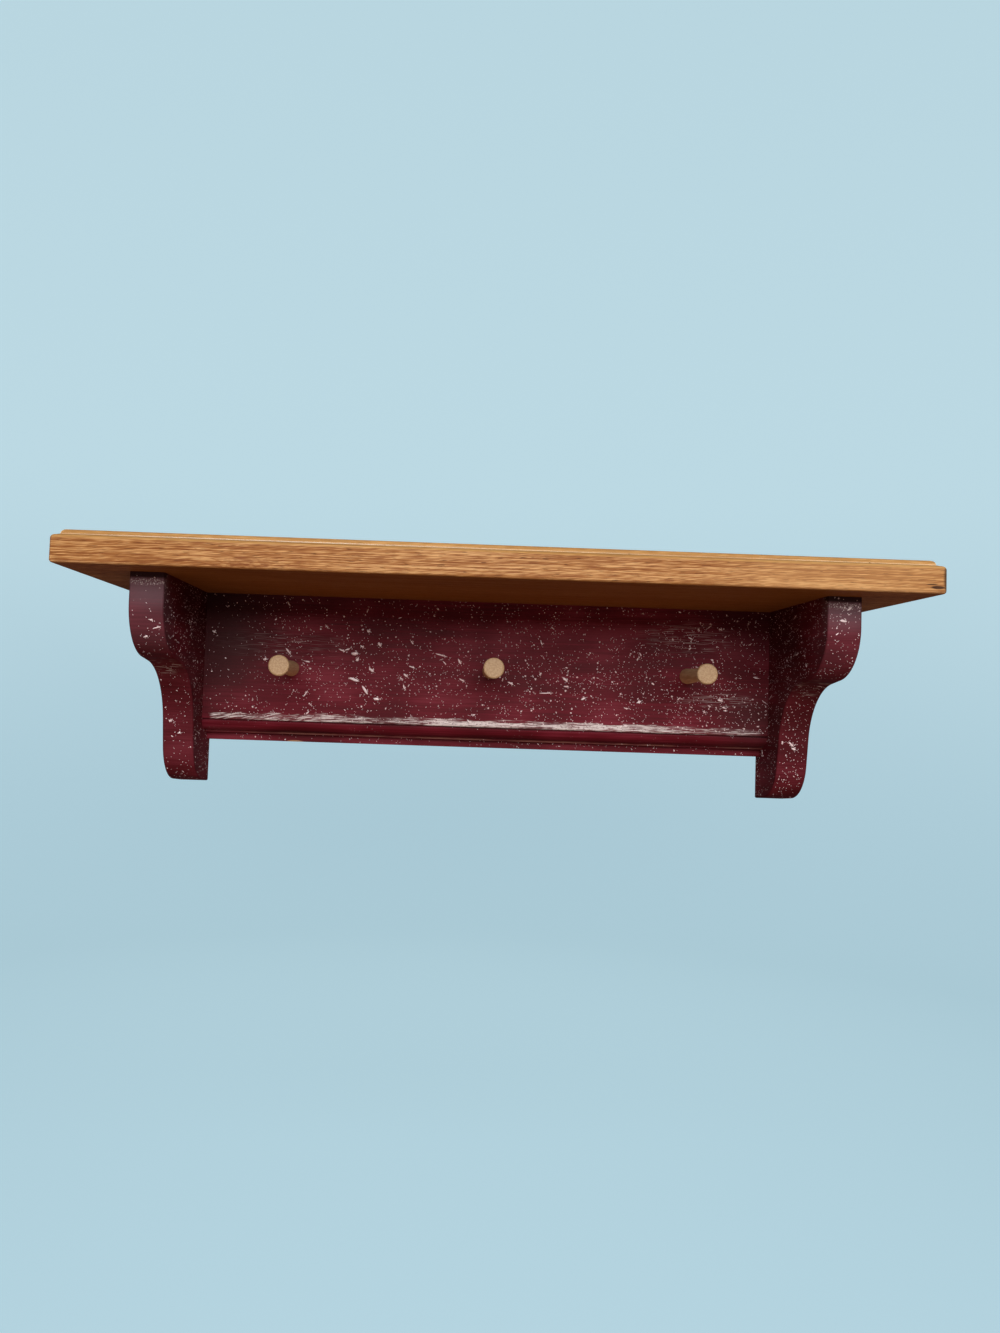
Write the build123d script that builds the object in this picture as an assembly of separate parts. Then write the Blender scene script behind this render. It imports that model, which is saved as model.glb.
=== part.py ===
from build123d import *
import math
import os

# Country wall shelf: a clear-finished oak top on two painted scroll brackets, with a painted
# board between them that carries three turned hanging pegs.
# Millimetres. X runs along the shelf, -Y faces the room, Y = 0 is the wall and +Z is up.
# The origin is on the wall, midway between the entry holes of the two keyhole hangers.

# Oak shelf board
SHELF_LENGTH = 508.0
SHELF_DEPTH = 148.0
SHELF_THICKNESS = 20.0
SHELF_OVERHANG = 36.75
SHELF_PLAN_ROUND = 1.5
SHELF_LOWER_ROUND = 1.8

# Moulding run along the shelf's front and ends: a small quarter round, a ledge, a soft nose
OVOLO_RADIUS = 3.0
LEDGE_RUN = 1.8
LEDGE_DROP = 0.7
NOSE_RADIUS = 2.5

# Scroll brackets
BRACKET_THICKNESS = 20.5
BRACKET_DEPTH = 122.0
BRACKET_HEIGHT = 132.0
BULGE_STRAIGHT = 18.0
BULGE_RADIUS = 31.5
WAIST_RUN = 13.0
WAIST_SLOPE = 8.5
ANKLE_DEPTH = 45.5
LEG_TAPER = 9.0
FOOT_RADIUS = 28.0
FOOT_SLOPE = 6.5
BRACKET_ARRIS = 1.2

# Peg board between the brackets, with a quirk and an ovolo moulded into its lower edge
BOARD_THICKNESS = 24.0
BOARD_HEIGHT = 102.0
BOARD_LIP_HEIGHT = 5.4
BOARD_LIP_THICKNESS = 8.0
BOARD_FILLET_HEIGHT = 1.2
BOARD_FILLET_RUN = 5.0
BOARD_OVOLO_HEIGHT = 7.0
BOARD_OVOLO_RUN = 10.2
QUIRK_HEIGHT = 1.0
QUIRK_DEPTH = 2.6
BOARD_ARRIS = 1.5
LIP_ARRIS = 0.6

# Turned pegs. Their holes were drilled by hand: the row stands a little to the right, and each
# peg has its own drop below the shelf.
PEG_DROPS = {"left_peg": 50.8, "centre_peg": 47.8, "right_peg": 46.9}
PEG_END_MARGIN = 58.75
PEG_ROW_SHIFT = 1.5
PEG_REACH = 50.0
PEG_HEAD_DIAMETER = 13.4
PEG_HEAD_THICKNESS = 4.0
PEG_HEAD_ROUND = 1.1
PEG_FLARE_LENGTH = 5.0
PEG_NECK_DIAMETER = 7.8
PEG_NECK_LENGTH = 3.0
PEG_BASE_DIAMETER = 10.8
TENON_DIAMETER = 8.0
TENON_LENGTH = 14.0

# Glued dowels that join the boards
DOWEL_DIAMETER = 8.0
DOWEL_LENGTH = 30.0
DOWEL_SHALLOW = 12.0
BRACKET_DOWEL_FRONT = 26.0
BRACKET_DOWEL_BACK = 40.0
BOARD_DOWEL_COUNT = 3
BOARD_DOWEL_SPACING = 130.0
END_DOWEL_TOP = 26.0
END_DOWEL_BOTTOM = 26.0
END_DOWEL_INSET = 15.0

# Keyhole hangers let into the back of the brackets, and the screws that hold them
HANGER_DROP = 52.0
HANGER_LENGTH = 44.0
HANGER_WIDTH = 16.0
HANGER_THICKNESS = 2.0
ENTRY_DIAMETER = 9.0
ENTRY_BELOW_CENTRE = 3.0
SLOT_WIDTH = 4.8
SLOT_RISE = 10.0
POCKET_WIDTH = 12.0
POCKET_DEPTH = 7.0
SCREW_SPACING = 34.0
SCREW_DIAMETER = 2.9
SCREW_LENGTH = 12.0
SCREW_HEAD_DIAMETER = 5.6
SCREW_HEAD_HEIGHT = 1.5

# Room left in the joints
GLUE_GAP = 0.05
END_ROOM = 0.5
RECESS_GAP = 0.15

# How far a cutting shape stands outside the wood that it cuts
OVERCUT = 2.0

# Places worked out from the sizes above
SHELF_TOP = HANGER_DROP
SHELF_UNDERSIDE = SHELF_TOP - SHELF_THICKNESS
BRACKET_SETOUT = SHELF_LENGTH / 2 - SHELF_OVERHANG - BRACKET_THICKNESS / 2
BRACKET_INNER = BRACKET_SETOUT - BRACKET_THICKNESS / 2
BOARD_LENGTH = 2 * BRACKET_INNER
PEG_SPACING = (BOARD_LENGTH - 2 * PEG_END_MARGIN) / (len(PEG_DROPS) - 1)
BOARD_BOTTOM = SHELF_UNDERSIDE - BOARD_HEIGHT
PEG_TIP = -BOARD_THICKNESS - PEG_REACH
HANGER_CENTRE_Z = ENTRY_BELOW_CENTRE
DOWEL_DEEP = DOWEL_LENGTH - DOWEL_SHALLOW
SIDES = {"left": -1, "right": 1}


def spread(count, spacing):
    """Evenly spaced places, centred on zero."""
    return [(index - (count - 1) / 2) * spacing for index in range(count)]


def drilled(radius, mouth, direction, depth):
    """A round hole's waste: it starts outside its mouth and runs in along the direction."""
    start = Vector(*mouth) - Vector(*direction) * OVERCUT
    floor = Plane(origin=start, z_dir=direction)
    return extrude(floor * Circle(radius), amount=depth + OVERCUT)


def dowel(middle, direction):
    """One dowel, lying along the direction and centred on the middle point."""
    return Plane(origin=middle, z_dir=direction) * Cylinder(DOWEL_DIAMETER / 2, DOWEL_LENGTH)


def dowel_joint(point, into_shallow, into_deep):
    """The dowel over a joint face at a point, and the two holes that take it."""
    into_deep = Vector(*into_deep)
    radius = DOWEL_DIAMETER / 2 + GLUE_GAP
    middle = Vector(*point) + into_deep * ((DOWEL_DEEP - DOWEL_SHALLOW) / 2)
    return {
        "dowel": dowel(middle, into_deep),
        "shallow": drilled(radius, point, into_shallow, DOWEL_SHALLOW + END_ROOM),
        "deep": drilled(radius, point, into_deep, DOWEL_DEEP + END_ROOM),
    }


def bracket_joints(side):
    """Two upright dowels between one bracket and the shelf."""
    places = (-BRACKET_DEPTH + BRACKET_DOWEL_FRONT, -BRACKET_DOWEL_BACK)
    return [
        dowel_joint((side * BRACKET_SETOUT, y, SHELF_UNDERSIDE), (0, 0, 1), (0, 0, -1))
        for y in places
    ]


def board_joints():
    """The upright dowels between the peg board and the shelf."""
    return [
        dowel_joint((x, -BOARD_THICKNESS / 2, SHELF_UNDERSIDE), (0, 0, 1), (0, 0, -1))
        for x in spread(BOARD_DOWEL_COUNT, BOARD_DOWEL_SPACING)
    ]


def end_joints(side):
    """Two level dowels between one bracket and its end of the peg board."""
    heights = (SHELF_UNDERSIDE - END_DOWEL_TOP, BOARD_BOTTOM + END_DOWEL_BOTTOM)
    return [
        dowel_joint((side * BRACKET_INNER, -END_DOWEL_INSET, z), (side, 0, 0), (-side, 0, 0))
        for z in heights
    ]


def peg_places():
    """Each peg's name, with the place of its axis along the board and its height."""
    along = spread(len(PEG_DROPS), PEG_SPACING)
    return {
        name: (x + PEG_ROW_SHIFT, SHELF_UNDERSIDE - drop)
        for x, (name, drop) in zip(along, PEG_DROPS.items())
    }


def moulding_waste():
    """What the cutter takes off a square top edge whose corner is at (0, 0), wood to the right."""
    flat_start = NOSE_RADIUS + LEDGE_RUN + OVOLO_RADIUS
    ledge_top = -OVOLO_RADIUS
    ledge_bottom = ledge_top - LEDGE_DROP
    with BuildSketch() as waste:
        with BuildLine():
            ovolo = JernArc((flat_start, 0), (-1, 0), OVOLO_RADIUS, 90)
            ledge = Line(ovolo @ 1, (NOSE_RADIUS, ledge_bottom))
            nose = JernArc(ledge @ 1, (-1, 0), NOSE_RADIUS, 90)
            Polyline(nose @ 1, (-OVERCUT, ledge_bottom - NOSE_RADIUS), (-OVERCUT, OVERCUT),
                     (flat_start, OVERCUT), ovolo @ 0)
        make_face()
    return waste.sketch


def shelf_section(near, far, both_ends):
    """The shelf's outline seen along one edge, with its moulding at near and, if asked, at far."""
    span = far - near
    outline = Pos((near + far) / 2, SHELF_TOP - SHELF_THICKNESS / 2) * Rectangle(span, SHELF_THICKNESS)
    lower = outline.vertices().sort_by(Axis.Y)[:2].sort_by(Axis.X)
    outline = fillet(lower if both_ends else lower[:1], SHELF_LOWER_ROUND)
    outline -= Pos(near, SHELF_TOP) * moulding_waste()
    if both_ends:
        outline -= Pos(far, SHELF_TOP) * mirror(moulding_waste(), about=Plane.YZ)
    return outline


def make_shelf(joints):
    """The oak top: its side outline and its front outline meet in mitred mouldings."""
    half = SHELF_LENGTH / 2
    from_side = Plane.YZ * shelf_section(-SHELF_DEPTH, 0, False)
    from_front = Plane.XZ * shelf_section(-half, half, True)
    board = extrude(from_side, amount=half, both=True) & extrude(from_front, amount=SHELF_DEPTH)
    corners = board.edges().filter_by(Axis.Z).sort_by(Axis.Y)[:2]
    board = fillet(corners, SHELF_PLAN_ROUND)
    for joint in joints:
        board -= joint["shallow"]
    return board


def bracket_outline():
    """The scroll: upright nose, full bulge, short waist, hollow sweep, tapering leg, round foot."""
    top = SHELF_UNDERSIDE
    slope = math.radians(WAIST_SLOPE)
    taper = math.radians(LEG_TAPER)
    foot_rise = math.tan(math.radians(FOOT_SLOPE))
    bulge_depth = BULGE_RADIUS * (1 - math.sin(slope))
    waist_depth = WAIST_RUN * math.cos(slope)
    sweep_depth = BRACKET_DEPTH - ANKLE_DEPTH - bulge_depth - waist_depth
    sweep_radius = sweep_depth / (math.cos(taper) - math.sin(slope))
    foot_level = top - BRACKET_HEIGHT
    with BuildSketch() as outline:
        with BuildLine():
            nose = Line((-BRACKET_DEPTH, top), (-BRACKET_DEPTH, top - BULGE_STRAIGHT))
            bulge = JernArc(nose @ 1, nose % 1, BULGE_RADIUS, 90 - WAIST_SLOPE)
            waist = PolarLine(bulge @ 1, WAIST_RUN, direction=bulge % 1)
            sweep = JernArc(waist @ 1, waist % 1, sweep_radius, WAIST_SLOPE + LEG_TAPER - 90)
            ankle = sweep @ 1
            narrowing = math.tan(taper)
            toe = (ankle.X + (ankle.Y - foot_level) * narrowing) / (1 - foot_rise * narrowing)
            Polyline(ankle, (toe, foot_level - toe * foot_rise), (0, foot_level), (0, top), nose @ 0)
        make_face()
        foot_corner = outline.vertices().sort_by(Axis.Y)[:2].sort_by(Axis.X)[0]
        fillet(foot_corner, FOOT_RADIUS)
    return outline.sketch


def hanger_slot(head_radius, slot_radius):
    """Keyhole shape, facing the wall: the entry round with the slot that rises from it."""
    entry = Circle(head_radius)
    rise = Pos(0, SLOT_RISE / 2) * Rectangle(2 * slot_radius, SLOT_RISE)
    return entry + rise + Pos(0, SLOT_RISE) * Circle(slot_radius)


def hanger_screw_heights():
    """Heights of the two screws in each hanger."""
    return [HANGER_CENTRE_Z + offset for offset in spread(2, SCREW_SPACING)]


def hanger_outline(margin):
    """Round-ended hanger outline, grown by a margin."""
    length = HANGER_LENGTH + 2 * margin
    return Pos(0, HANGER_CENTRE_Z) * SlotOverall(length, HANGER_WIDTH + 2 * margin, rotation=90)


def hanger_recess():
    """Waste behind one hanger at X = 0: its seat, the pocket for the wall screw, the pilots."""
    outside = Plane.XZ.offset(-OVERCUT)
    seat = extrude(outside * hanger_outline(RECESS_GAP), amount=OVERCUT + HANGER_THICKNESS)
    pocket_shape = hanger_slot(POCKET_WIDTH / 2, POCKET_WIDTH / 2)
    pocket = extrude(outside * pocket_shape, amount=OVERCUT + POCKET_DEPTH)
    waste = seat + pocket
    for z in hanger_screw_heights():
        pilot = drilled(SCREW_DIAMETER / 2 + GLUE_GAP, (0, 0, z), (0, -1, 0), SCREW_LENGTH + END_ROOM)
        waste += pilot
    return waste


def make_bracket(side, top_joints, side_joints):
    """One scroll bracket with softened arrises, bored for its dowels and let in for its hanger."""
    inner = Plane.YZ.offset(side * BRACKET_SETOUT)
    plank = extrude(inner * bracket_outline(), amount=BRACKET_THICKNESS / 2, both=True)
    outlines = plank.faces().filter_by(Axis.X).edges()
    against_wall = outlines.group_by(Axis.Y)[-1]
    under_shelf = outlines.group_by(Axis.Z)[-1]
    plank = fillet(outlines - against_wall - under_shelf, BRACKET_ARRIS)
    for joint in top_joints:
        plank -= joint["deep"]
    for joint in side_joints:
        plank -= joint["shallow"]
    return plank - Pos(side * BRACKET_SETOUT, 0, 0) * hanger_recess()


def board_outline():
    """The peg board seen from its end: flat face, quirk, ovolo, fillet and thin lower lip."""
    face = -BOARD_THICKNESS
    lip_top = BOARD_BOTTOM + BOARD_LIP_HEIGHT
    fillet_top = lip_top + BOARD_FILLET_HEIGHT
    ovolo_top = fillet_top + BOARD_OVOLO_HEIGHT
    quirk_top = ovolo_top + QUIRK_HEIGHT
    fillet_y = -BOARD_LIP_THICKNESS - BOARD_FILLET_RUN
    ovolo_y = fillet_y - BOARD_OVOLO_RUN
    with BuildSketch() as outline:
        with BuildLine():
            upper = Polyline((0, BOARD_BOTTOM), (0, SHELF_UNDERSIDE), (face, SHELF_UNDERSIDE),
                             (face, quirk_top), (face + QUIRK_DEPTH, quirk_top),
                             (face + QUIRK_DEPTH, ovolo_top), (ovolo_y, ovolo_top))
            ovolo = EllipticalCenterArc((fillet_y, ovolo_top), BOARD_OVOLO_RUN, BOARD_OVOLO_HEIGHT,
                                        start_angle=180, arc_size=90)
            Polyline((fillet_y, fillet_top), (fillet_y, lip_top), (-BOARD_LIP_THICKNESS, lip_top),
                     (-BOARD_LIP_THICKNESS, BOARD_BOTTOM), upper @ 0)
        make_face()
        corners = outline.vertices()
        fillet(corners.sort_by_distance((face, quirk_top))[0], BOARD_ARRIS)
        corners = outline.vertices()
        fillet(corners.sort_by_distance((-BOARD_LIP_THICKNESS, BOARD_BOTTOM))[0], LIP_ARRIS)
    return outline.sketch


def make_board(top_joints, side_joints):
    """The peg board, bored for its dowels and for the pegs' tenons."""
    board = extrude(Plane.YZ * board_outline(), amount=BOARD_LENGTH / 2, both=True)
    for joint in top_joints + side_joints:
        board -= joint["deep"]
    for x, z in peg_places().values():
        mouth = (x, -BOARD_THICKNESS, z)
        board -= drilled(TENON_DIAMETER / 2 + GLUE_GAP, mouth, (0, 1, 0), TENON_LENGTH + END_ROOM)
    return board


def make_peg(x, z):
    """One turned peg: tenon, tapering shaft, narrow neck and a flared head with a soft rim."""
    face = -BOARD_THICKNESS
    head_back = PEG_TIP + PEG_HEAD_THICKNESS
    neck_front = head_back + PEG_FLARE_LENGTH
    neck_back = neck_front + PEG_NECK_LENGTH
    head_radius = PEG_HEAD_DIAMETER / 2
    neck_radius = PEG_NECK_DIAMETER / 2
    with BuildSketch() as section:
        with BuildLine():
            shaft = Polyline((0, face + TENON_LENGTH), (TENON_DIAMETER / 2, face + TENON_LENGTH),
                             (TENON_DIAMETER / 2, face), (PEG_BASE_DIAMETER / 2, face),
                             (neck_radius, neck_back), (neck_radius, neck_front))
            flare = TangentArc(shaft @ 1, (head_radius, head_back), tangent=(0, -1))
            rim = Line(flare @ 1, (head_radius, PEG_TIP + PEG_HEAD_ROUND))
            edge = JernArc(rim @ 1, rim % 1, PEG_HEAD_ROUND, -90)
            Polyline(edge @ 1, (0, PEG_TIP), shaft @ 0)
        make_face()
    turned = revolve(section.sketch, axis=Axis.Y)
    return Pos(x, 0, z) * turned


def make_hanger(side):
    """One keyhole hanger, flush with the bracket's back edge."""
    plate = extrude(Plane.XZ * hanger_outline(0), amount=HANGER_THICKNESS)
    keyhole = hanger_slot(ENTRY_DIAMETER / 2, SLOT_WIDTH / 2)
    plate -= extrude(Plane.XZ.offset(-OVERCUT) * keyhole, amount=HANGER_THICKNESS + 2 * OVERCUT)
    for z in hanger_screw_heights():
        plate -= Pos(0, 0, z) * screw_form(GLUE_GAP)
    return Pos(side * BRACKET_SETOUT, 0, 0) * plate


def screw_form(gap):
    """A countersunk wood screw with its head at the wall, grown by a gap."""
    head = SCREW_HEAD_DIAMETER / 2 + gap
    shank = SCREW_DIAMETER / 2 + gap
    with BuildSketch() as section:
        with BuildLine():
            Polyline((0, 0), (head, 0), (shank, -SCREW_HEAD_HEIGHT), (shank, -SCREW_LENGTH),
                     (0, -SCREW_LENGTH), (0, 0))
        make_face()
    return revolve(section.sketch, axis=Axis.Y)


def make_screws(side):
    """The two screws of one hanger."""
    return [Pos(side * BRACKET_SETOUT, 0, z) * screw_form(0) for z in hanger_screw_heights()]


def build_parts():
    """Every piece of the shelf under its own name."""
    parts = {}
    shelf_joints = board_joints()
    board_ends = []
    parts["board_dowels"] = [joint["dowel"] for joint in shelf_joints]
    all_shelf_joints = list(shelf_joints)
    for name, side in SIDES.items():
        upright = bracket_joints(side)
        level = end_joints(side)
        all_shelf_joints += upright
        board_ends += level
        parts[name + "_bracket"] = [make_bracket(side, upright, level)]
        parts[name + "_bracket_dowels"] = [joint["dowel"] for joint in upright]
        parts[name + "_end_dowels"] = [joint["dowel"] for joint in level]
        parts[name + "_hanger"] = [make_hanger(side)]
        parts[name + "_hanger_screws"] = make_screws(side)
    parts["shelf_board"] = [make_shelf(all_shelf_joints)]
    parts["peg_board"] = [make_board(shelf_joints, board_ends)]
    for name, (x, z) in peg_places().items():
        parts[name] = [make_peg(x, z)]
    return parts


os.makedirs("parts", exist_ok=True)
for part_name, pieces in build_parts().items():
    solids = [solid for piece in pieces for solid in piece.solids()]
    export_step(Compound(children=solids, label=part_name), os.path.join("parts", part_name + ".step"))
    print(part_name, len(solids), "solid(s)")
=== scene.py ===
"""Looks of the country wall shelf: finishes, paint spatter, hanger screws, light and camera.

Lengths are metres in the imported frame: X runs along the shelf, -Y faces the room, Y = 0 is the
wall plane and +Z is up. Pattern sizes are given in millimetres, as they are on the real shelf.
"""
import logging
import math
from dataclasses import dataclass
from enum import Enum

import bmesh
import bpy
from mathutils import Matrix, Vector


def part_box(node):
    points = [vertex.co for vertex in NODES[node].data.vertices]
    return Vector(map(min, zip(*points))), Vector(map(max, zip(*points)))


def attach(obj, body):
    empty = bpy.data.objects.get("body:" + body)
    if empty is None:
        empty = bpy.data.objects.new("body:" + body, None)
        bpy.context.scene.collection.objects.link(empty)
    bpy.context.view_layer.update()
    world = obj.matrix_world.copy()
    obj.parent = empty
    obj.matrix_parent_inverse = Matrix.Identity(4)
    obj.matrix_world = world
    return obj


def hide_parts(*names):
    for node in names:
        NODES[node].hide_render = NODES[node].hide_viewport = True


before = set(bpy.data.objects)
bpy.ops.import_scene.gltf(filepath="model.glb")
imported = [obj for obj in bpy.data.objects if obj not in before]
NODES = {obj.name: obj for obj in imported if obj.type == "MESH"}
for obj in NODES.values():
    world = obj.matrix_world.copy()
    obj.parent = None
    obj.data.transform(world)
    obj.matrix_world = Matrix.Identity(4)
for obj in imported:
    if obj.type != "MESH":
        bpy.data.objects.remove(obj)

LOG = logging.getLogger("wall_shelf")
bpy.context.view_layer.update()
BODY = "root"
MM = 0.001
UPRIGHT = (0.0, 0.0, 1.0)

# Parts of a unit normal: nearly along an axis, a little aside from it, and nearly straight down
SQUARE_ON = 0.99
SIDEWAYS = 0.2
STRAIGHT_DOWN = -0.97

Node = bpy.types.Node
Socket = bpy.types.NodeSocket
Source = Node | Socket
Material = bpy.types.Material
Mesh = bpy.types.Mesh
Object = bpy.types.Object
Triple = tuple[float, float, float]


def linear(colour: str) -> tuple[float, float, float, float]:
    """Turns an sRGB hex colour into linear RGBA.

    Args:
        colour: Six hex digits after a hash sign.

    Returns:
        The linear colour with an alpha of one.
    """
    channels = [int(colour[place:place + 2], 16) / 255 for place in (1, 3, 5)]
    bright = [c / 12.92 if c <= 0.04045 else ((c + 0.055) / 1.055) ** 2.4 for c in channels]
    return (*bright, 1.0)


def turned_mesh(name: str, outline: list[tuple[float, float]], sides: int, weld: float) -> Mesh:
    """Turns an outline about the upright axis.

    Args:
        name: The mesh's name.
        outline: Radius and height of each corner.
        sides: Flats round the axis.
        weld: How close two corners must be to become one.

    Returns:
        The mesh, with its faces pointing outwards.
    """
    turned = bmesh.new()
    points = [turned.verts.new((radius, 0.0, height)) for radius, height in outline]
    edges = [turned.edges.new(pair) for pair in zip(points, points[1:])]
    bmesh.ops.spin(turned, geom=points + edges, axis=UPRIGHT, cent=(0, 0, 0), angle=2 * math.pi, steps=sides)
    bmesh.ops.remove_doubles(turned, verts=turned.verts, dist=weld)
    bmesh.ops.recalc_face_normals(turned, faces=turned.faces)
    mesh = bpy.data.meshes.new(name)
    turned.to_mesh(mesh)
    turned.free()
    return mesh


class Graph:
    """A node tree in the making."""

    def __init__(self, tree: bpy.types.NodeTree) -> None:
        """Takes the tree that is to be filled."""
        self.tree = tree

    def fill(self, node: Node, inputs: dict) -> None:
        """Gives a node's inputs their values and links.

        Args:
            node: The node.
            inputs: A value, a socket, or a node for its first output, by input name or number. An
                input that takes several links gets a list.
        """
        for key, given in inputs.items():
            for value in given if isinstance(given, list) else [given]:
                if isinstance(value, Node):
                    value = value.outputs[0]
                if isinstance(value, Socket):
                    self.tree.links.new(value, node.inputs[key])
                else:
                    node.inputs[key].default_value = value

    def add(self, kind: str, inputs: dict | None = None, stops: list[tuple[float, str]] | None = None,
            **settings: str | int) -> Node:
        """Adds one node, with its settings, its values and its links.

        Args:
            kind: Blender's name for the kind of node.
            inputs: What its inputs get, as fill takes it.
            stops: Places and sRGB colours along a colour ramp.
            settings: Properties of the node itself.

        Returns:
            The new node.
        """
        node = self.tree.nodes.new(kind)
        for name, value in settings.items():
            setattr(node, name, value)
        self.fill(node, inputs or {})
        for index, (place, colour) in enumerate(stops or []):
            ramp = node.color_ramp.elements
            stop = ramp[index] if index < 2 else ramp.new(place)
            stop.position, stop.color = place, linear(colour)
        return node

    def product(self, *values: Source | float) -> Source:
        """Multiplies values together, as one mask cuts another down.

        Args:
            values: Sources and numbers.

        Returns:
            Their product.
        """
        total, *others = values
        for value in others:
            total = self.add("ShaderNodeMath", {0: total, 1: value}, operation="MULTIPLY")
        return total


@dataclass(frozen=True)
class Grain:
    """A noise whose cells can run long and thin, as wood grain and brush lines do.

    The cell's length along X, Y and Z and the start, which makes one noise unlike another, are in
    millimetres. Detail is finer noise laid over it, and lean turns the cells out of level, in degrees.
    """

    cell: Triple
    detail: float = 1.0
    start: float = 0.0
    lean: float = 0.0


@dataclass(frozen=True)
class Patch:
    """A soft-edged oval place on the shelf: its middle and half of its size, in millimetres.

    Soft is the outer share of it that fades, and strength is how much of a mark it lets through.
    """

    centre: Triple
    reach: Triple
    soft: float
    strength: float = 1.0


class Surface(Graph):
    """A material in the making: its nodes, its shader, and its places in millimetres."""

    def __init__(self, name: str) -> None:
        """Starts a material.

        Args:
            name: Its finish, in plain words.
        """
        self.material = bpy.data.materials.new(name)
        self.material.use_nodes = True
        super().__init__(self.material.node_tree)
        self.shader = self.tree.nodes["Principled BSDF"]
        place = self.add("ShaderNodeTexCoord").outputs["Object"]
        self.place = self.add("ShaderNodeVectorMath", {0: place, "Scale": 1 / MM}, operation="SCALE")

    def noise(self, grain: Grain) -> Node:
        """Draws a grain.

        Args:
            grain: The size of its cells, and where it starts.

        Returns:
            The noise node.
        """
        local = self.add("ShaderNodeMapping", {
            "Vector": self.place, "Location": (grain.start,) * 3,
            "Rotation": (0.0, -math.radians(grain.lean), 0.0), "Scale": grain.cell}, vector_type="TEXTURE")
        return self.add("ShaderNodeTexNoise", {
            "Vector": local, "Scale": 1.0, "Detail": grain.detail, "Roughness": 0.55})

    def flecks(self, grain: Grain, low: float, high: float, least: float = 0.0, most: float = 1.0) -> Node:
        """Draws a grain and picks out its high places.

        Args:
            grain: The grain.
            low: The noise that still counts as nothing.
            high: The noise that counts in full.
            least: What the mask is where the noise is low.
            most: What the mask is where the noise is high.

        Returns:
            The mask.
        """
        return self.add("ShaderNodeMapRange", {
            "Value": self.noise(grain), "From Min": low, "From Max": high, "To Min": least,
            "To Max": most}, interpolation_type="SMOOTHSTEP")

    def within(self, patch: Patch) -> Node:
        """Marks one place on the shelf.

        Args:
            patch: The place.

        Returns:
            The patch's strength inside it and nought outside.
        """
        local = self.add("ShaderNodeMapping", {
            "Vector": self.place, "Location": patch.centre, "Scale": patch.reach}, vector_type="TEXTURE")
        away = self.add("ShaderNodeVectorMath", {0: local}, operation="LENGTH").outputs["Value"]
        return self.add("ShaderNodeMapRange", {
            "Value": away, "From Min": 1.0 - patch.soft, "From Max": 1.0, "To Min": patch.strength,
            "To Max": 0.0}, interpolation_type="SMOOTHSTEP")

    def past(self, axis: str, start: float, end: float) -> Node:
        """Marks what lies past a level on one axis.

        Args:
            axis: X, Y or Z.
            start: Where the mask is nought, in millimetres.
            end: Where it is one, on either side of the start.

        Returns:
            The mask.
        """
        parts = self.add("ShaderNodeSeparateXYZ", {0: self.place})
        return self.add("ShaderNodeMapRange", {
            "Value": parts.outputs[axis], "From Min": start, "From Max": end}, interpolation_type="SMOOTHSTEP")

    def rubbed(self, radius: float) -> Node:
        """Finds outer edges: those that hands and cloths rub, and on the oak also those that get painted
        highlights.

        Args:
            radius: How far from the edge the rubbing reaches, in millimetres.

        Returns:
            One on the edges and nought on the flats.
        """
        rounded = self.add("ShaderNodeBevel", {"Radius": radius * MM}, samples=4)
        actual = self.add("ShaderNodeNewGeometry").outputs["Normal"]
        match = self.add("ShaderNodeVectorMath", {0: rounded, 1: actual}, operation="DOT_PRODUCT")
        return self.add("ShaderNodeMapRange", {
            "Value": match.outputs["Value"], "From Min": 0.998, "From Max": 0.93},
            interpolation_type="SMOOTHSTEP")

    def blend(self, *parts: tuple[Source, float]) -> Node:
        """Adds patterns together.

        Args:
            parts: Patterns, each with its share.

        Returns:
            The sum.
        """
        total = 0.0
        for pattern, share in parts:
            total = self.add("ShaderNodeMath", {0: pattern, 1: share, 2: total}, operation="MULTIPLY_ADD")
        return total

    def toned(self, pattern: Source, low: float, high: float, *colours: str) -> Node:
        """Colours a pattern from its low places to its high ones.

        Args:
            pattern: The pattern.
            low: The value that gets the first colour.
            high: The value that gets the last.
            colours: The sRGB colours, evenly spread.

        Returns:
            The colour.
        """
        spread = self.add("ShaderNodeMapRange", {"Value": pattern, "From Min": low, "From Max": high},
                          interpolation_type="SMOOTHSTEP")
        stops = [(index / (len(colours) - 1), colour) for index, colour in enumerate(colours)]
        return self.add("ShaderNodeValToRGB", {0: spread}, stops)

    def layered(self, tone: Source, *layers: tuple[Source, Source | str]) -> Source:
        """Lays colours over a ground in turn.

        Args:
            tone: The ground.
            layers: Masks, each with its colour as a source or sRGB hex.

        Returns:
            The joined colour.
        """
        for mask, colour in layers:
            top = linear(colour) if isinstance(colour, str) else colour
            tone = self.add("ShaderNodeMix", {0: mask, 6: tone, 7: top}, data_type="RGBA").outputs[2]
        return tone

    def finish(self, inputs: dict, relief: Source | None = None, strength: float = 0.0,
               depth: float = 0.0) -> Material:
        """Joins the patterns to the shader.

        Args:
            inputs: What the shader's inputs get, as fill takes it.
            relief: A pattern of heights.
            strength: How much of the relief shows.
            depth: Its depth in millimetres.

        Returns:
            The finished material.
        """
        if relief is not None:
            inputs["Normal"] = self.add("ShaderNodeBump", {
                "Strength": strength, "Distance": depth * MM, "Height": relief})
        self.fill(self.shader, inputs)
        return self.material


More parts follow.
